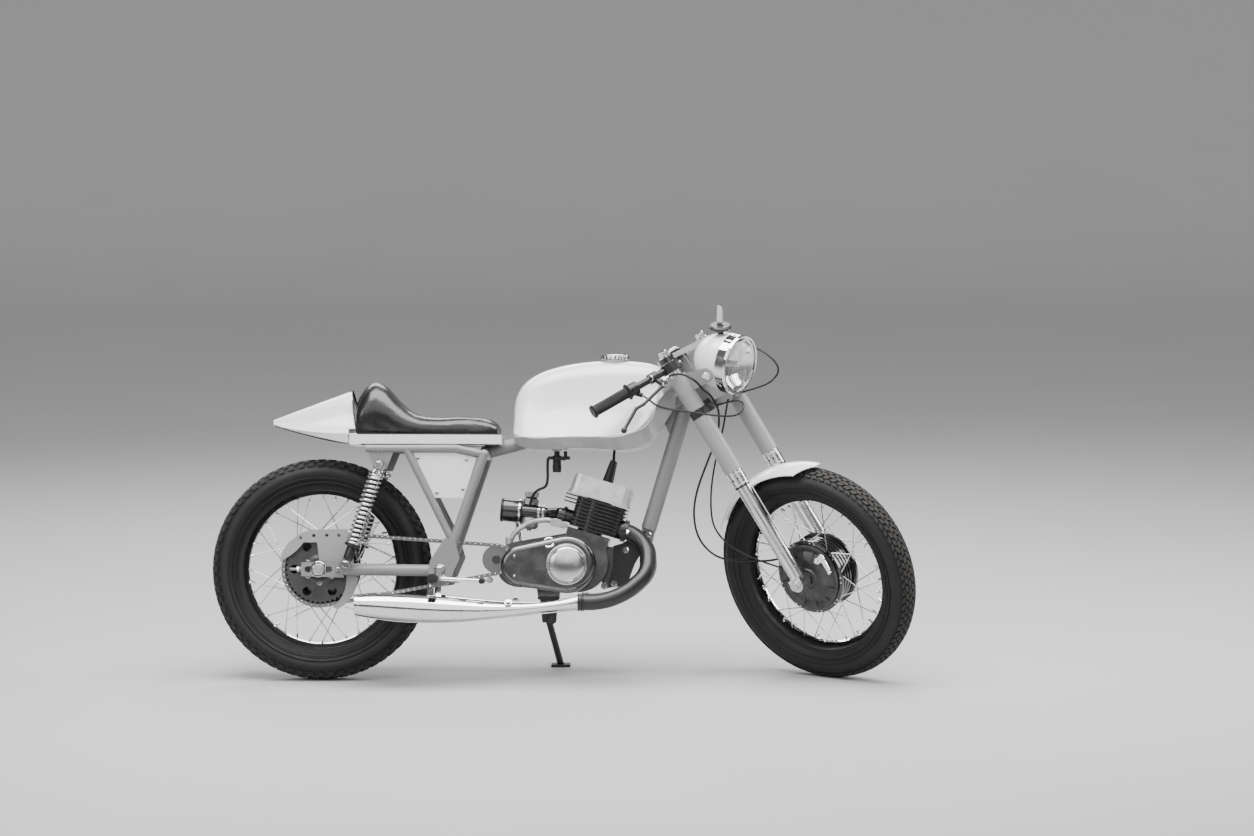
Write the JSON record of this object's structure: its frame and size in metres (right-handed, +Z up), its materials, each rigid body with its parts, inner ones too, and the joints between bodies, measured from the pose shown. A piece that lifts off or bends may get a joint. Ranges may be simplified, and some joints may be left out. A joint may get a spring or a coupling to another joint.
{
  "type": "cafe racer motorcycle",
  "caption": "Cafe racer motorcycle with a single-seat tail, low clip-on bars and spoked wheels; its wheels, steering and side stand move.",
  "frame": {"origin": "on the floor, under the centre of the parked motorcycle's bounding box", "axes": "+X towards the front of the motorcycle, +Y to the rider's left, +Z up"},
  "size_m": [2.0476, 0.6548, 1.0981],
  "materials": {
    "black_fins": "black heat-proof paint",
    "black_paint": "gloss black paint",
    "cast_aluminium": "as cast",
    "chain_steel": "oiled",
    "chrome": "polished chrome",
    "frame_black": "satin black paint",
    "grey_paint": "satin light grey paint",
    "lens": "clear, fluted",
    "plastic": "satin",
    "polished_aluminium": "polished",
    "rubber": "matt",
    "seat_cover": "gloss black cover",
    "steel": "brushed",
    "tyre": "matt",
    "white_paint": "gloss white paint"
  },
  "bodies": {
    "chassis": {"rear_brake_plate": "cast_aluminium", "frame_front": "frame_black", "frame_side_right": "frame_black", "frame_side_left": "frame_black", "swingarm": "frame_black", "rear_axle": "steel", "shock_right": "chrome", "shock_left": "chrome", "drive_chain": "chain_steel", "chain_guard": "grey_paint", "crankcase": "cast_aluminium", "right_cover": "polished_aluminium", "generator_cover": "chrome", "cylinder": "black_fins", "cylinder_head": "cast_aluminium", "plug_cap_and_coil": "plastic", "carburettor": "black_paint", "engine_plates": "black_paint", "exhaust_header": "black_fins", "muffler": "chrome", "fuel_tank": "white_paint", "fuel_cap": "chrome", "fuel_tap": "plastic", "seat_pad": "seat_cover", "tail_cowl": "white_paint", "side_box": "polished_aluminium", "stand_bracket": "frame_black", "rearset_right": "polished_aluminium", "rearset_left": "polished_aluminium", "kick_starter": "chrome"},
    "steering": {"steering_stem": "frame_black", "top_yoke": "black_paint", "fork_leg_right": "polished_aluminium", "fork_leg_left": "polished_aluminium", "fork_shroud_right": "grey_paint", "fork_shroud_left": "grey_paint", "headlamp_shell": "white_paint", "headlamp_rim": "chrome", "headlamp_lens": "lens", "headlamp_switch": "chrome", "handlebar_right": "black_paint", "grip_right": "rubber", "handlebar_left": "black_paint", "grip_left": "rubber", "front_mudguard": "white_paint", "front_axle": "steel", "front_brake_plate": "cast_aluminium"},
    "front_wheel": {"front_tyre": "tyre", "front_rim": "chrome", "front_hub": "black_paint", "front_spokes": "chrome"},
    "rear_wheel": {"rear_tyre": "tyre", "rear_rim": "chrome", "rear_hub": "black_paint", "rear_spokes": "chrome", "rear_sprocket": "steel"},
    "side_stand": {"side_stand": "frame_black"}
  },
  "joints": [
    {"name": "steering", "type": "hinge", "parent": "chassis", "child": "steering", "pos_m": [0.37726, -0.01305, 0.86476], "axis": [-0.5133, 0.1193, 0.8499], "range_deg": [0, 80]},
    {"name": "front_wheel_spin", "type": "hinge", "parent": "steering", "child": "front_wheel", "pos_m": [0.74697, -0.11612, 0.31535], "axis": [0.5514, 0.8047, 0.2201], "continuous": true},
    {"name": "rear_wheel_spin", "type": "hinge", "parent": "chassis", "child": "rear_wheel", "pos_m": [-0.702, -0.08999, 0.31949], "axis": [-0.0003, 0.9903, -0.1392], "continuous": true},
    {"name": "side_stand", "type": "hinge", "parent": "chassis", "child": "side_stand", "pos_m": [-0.04182, -0.01172, 0.16375], "axis": [-0.3728, 0.9214, 0.1095], "range_deg": [0, 105]}
  ]
}
